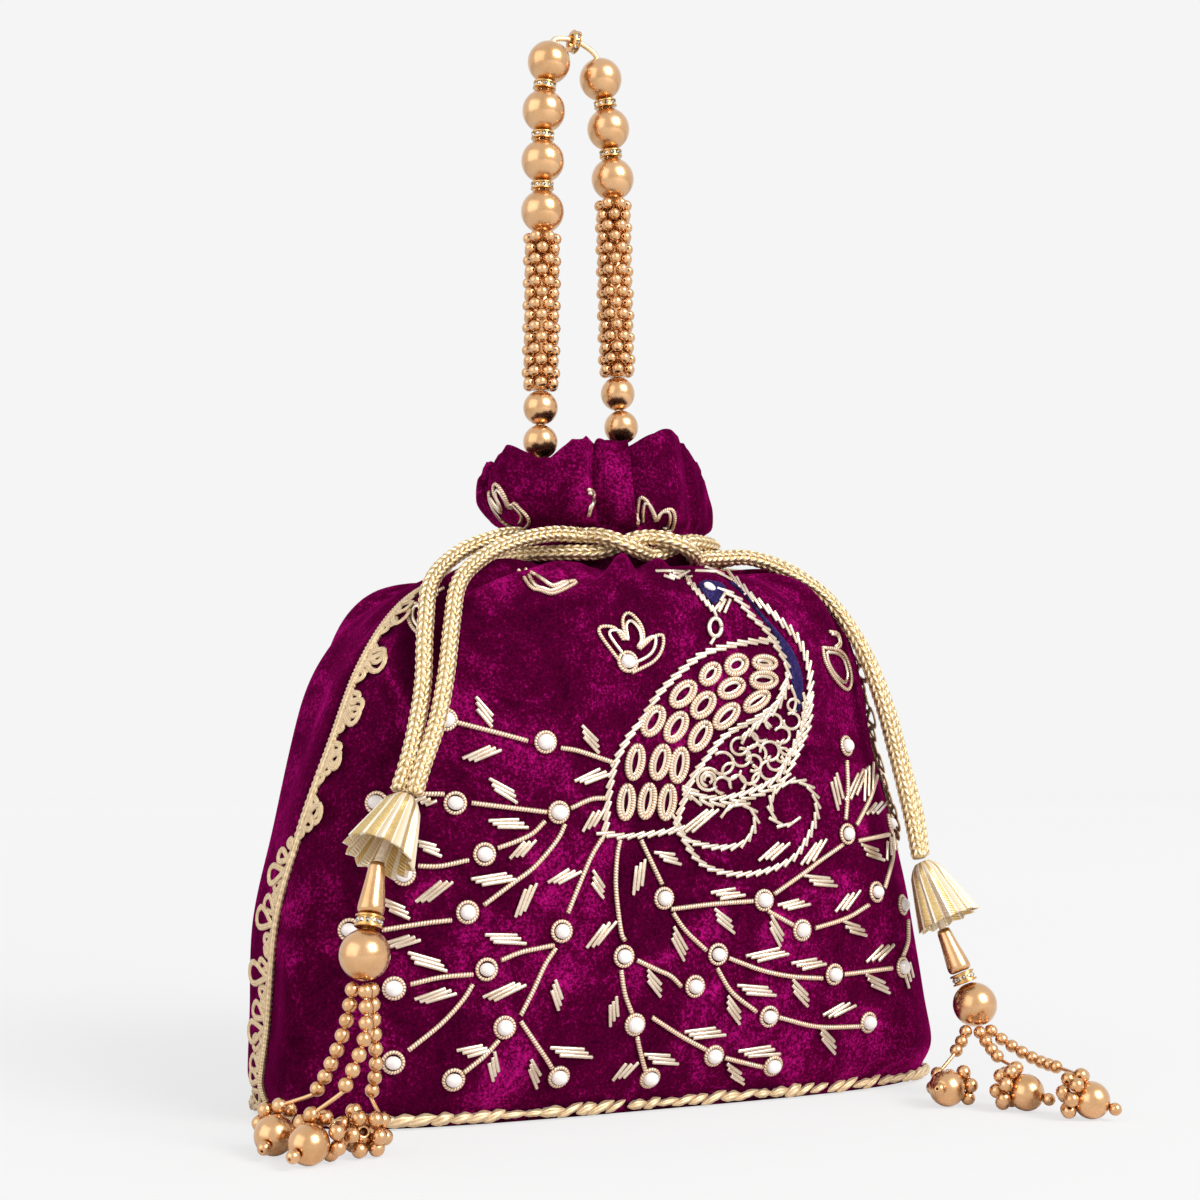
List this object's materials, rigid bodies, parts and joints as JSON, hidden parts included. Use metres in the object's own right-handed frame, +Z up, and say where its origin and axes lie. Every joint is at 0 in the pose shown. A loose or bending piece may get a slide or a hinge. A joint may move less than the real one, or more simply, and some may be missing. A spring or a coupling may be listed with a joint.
{
  "type": "potli bag",
  "caption": "Velvet drawstring pouch bag with a gathered neck, zardozi peacock embroidery, gold drawcords with beaded tassels and a beaded loop handle.",
  "frame": {"origin": "middle of the base on the surface it stands on, measured without the free cords and tassels", "axes": "+Z up, +X towards the wearer's right along the bag's width, -Y out of the embroidered front"},
  "size_m": [0.2097, 0.1425, 0.2896],
  "materials": {
    "velvet": "deep wine pile velvet",
    "satin_lining": "plain satin",
    "gold_ribbon": "metallic ribbon edging",
    "metal_thread_and_pearls": "couched metal wire, cut tubes and pearls",
    "gold_braid": "metallic braided cord",
    "pleated_foil_cloth": "pleated metallic cloth",
    "rhinestone_metal": "gold rings set with small clear stones",
    "gold_wire": "satin",
    "gold_bead": "satin gold plating"
  },
  "bodies": {
    "bag": {"base_panel": "velvet", "front_panel": "velvet", "back_panel": "velvet", "lining": "satin_lining", "side_edging_left": "gold_ribbon", "side_edging_right": "gold_ribbon", "base_edging": "gold_ribbon", "peacock_embroidery": "metal_thread_and_pearls", "neck_cord_left": "gold_braid", "neck_cord_right": "gold_braid", "handle_tab_left": "velvet", "handle_tab_right": "velvet", "drawcord_left_front": "gold_braid", "drawcord_left_side": "gold_braid", "drawcord_right_front": "gold_braid", "drawcord_right_side": "gold_braid", "tassel_cone_left": "pleated_foil_cloth", "drop_bead_left": "gold_bead", "tassel_spacer_left": "rhinestone_metal", "tassel_ball_left": "gold_bead", "bead_strand_left_1": "gold_bead", "end_ball_left_1": "gold_bead", "bead_strand_left_2": "gold_bead", "end_ball_left_2": "gold_bead", "bead_strand_left_3": "gold_bead", "end_ball_left_3": "gold_bead", "tassel_cone_right": "pleated_foil_cloth", "drop_bead_right": "gold_bead", "tassel_spacer_right": "rhinestone_metal", "tassel_ball_right": "gold_bead", "bead_strand_right_1": "gold_bead", "end_ball_right_1": "gold_bead", "bead_strand_right_2": "gold_bead", "end_ball_right_2": "gold_bead", "bead_strand_right_3": "gold_bead", "end_ball_right_3": "gold_bead"},
    "handle": {"handle_wire": "gold_wire", "woven_tube_left": "gold_bead", "woven_tube_right": "gold_bead", "rondelle_top": "rhinestone_metal", "medium_bead_left_1": "gold_bead", "medium_bead_left_2": "gold_bead", "medium_bead_right_1": "gold_bead", "medium_bead_right_2": "gold_bead", "large_bead_1": "gold_bead", "large_bead_2": "gold_bead", "large_bead_3": "gold_bead", "large_bead_4": "gold_bead", "large_bead_5": "gold_bead", "large_bead_6": "gold_bead", "large_bead_7": "gold_bead", "rondelle_left_1": "rhinestone_metal", "rondelle_left_2": "rhinestone_metal", "rondelle_left_3": "rhinestone_metal", "rondelle_right_1": "rhinestone_metal", "rondelle_right_2": "rhinestone_metal"}
  },
  "joints": [
    {"name": "handle_swing", "type": "hinge", "parent": "bag", "child": "handle", "pos_m": [0, 0.003, 0.162], "axis": [1, 0, 0], "range_deg": [-45, 45]}
  ]
}
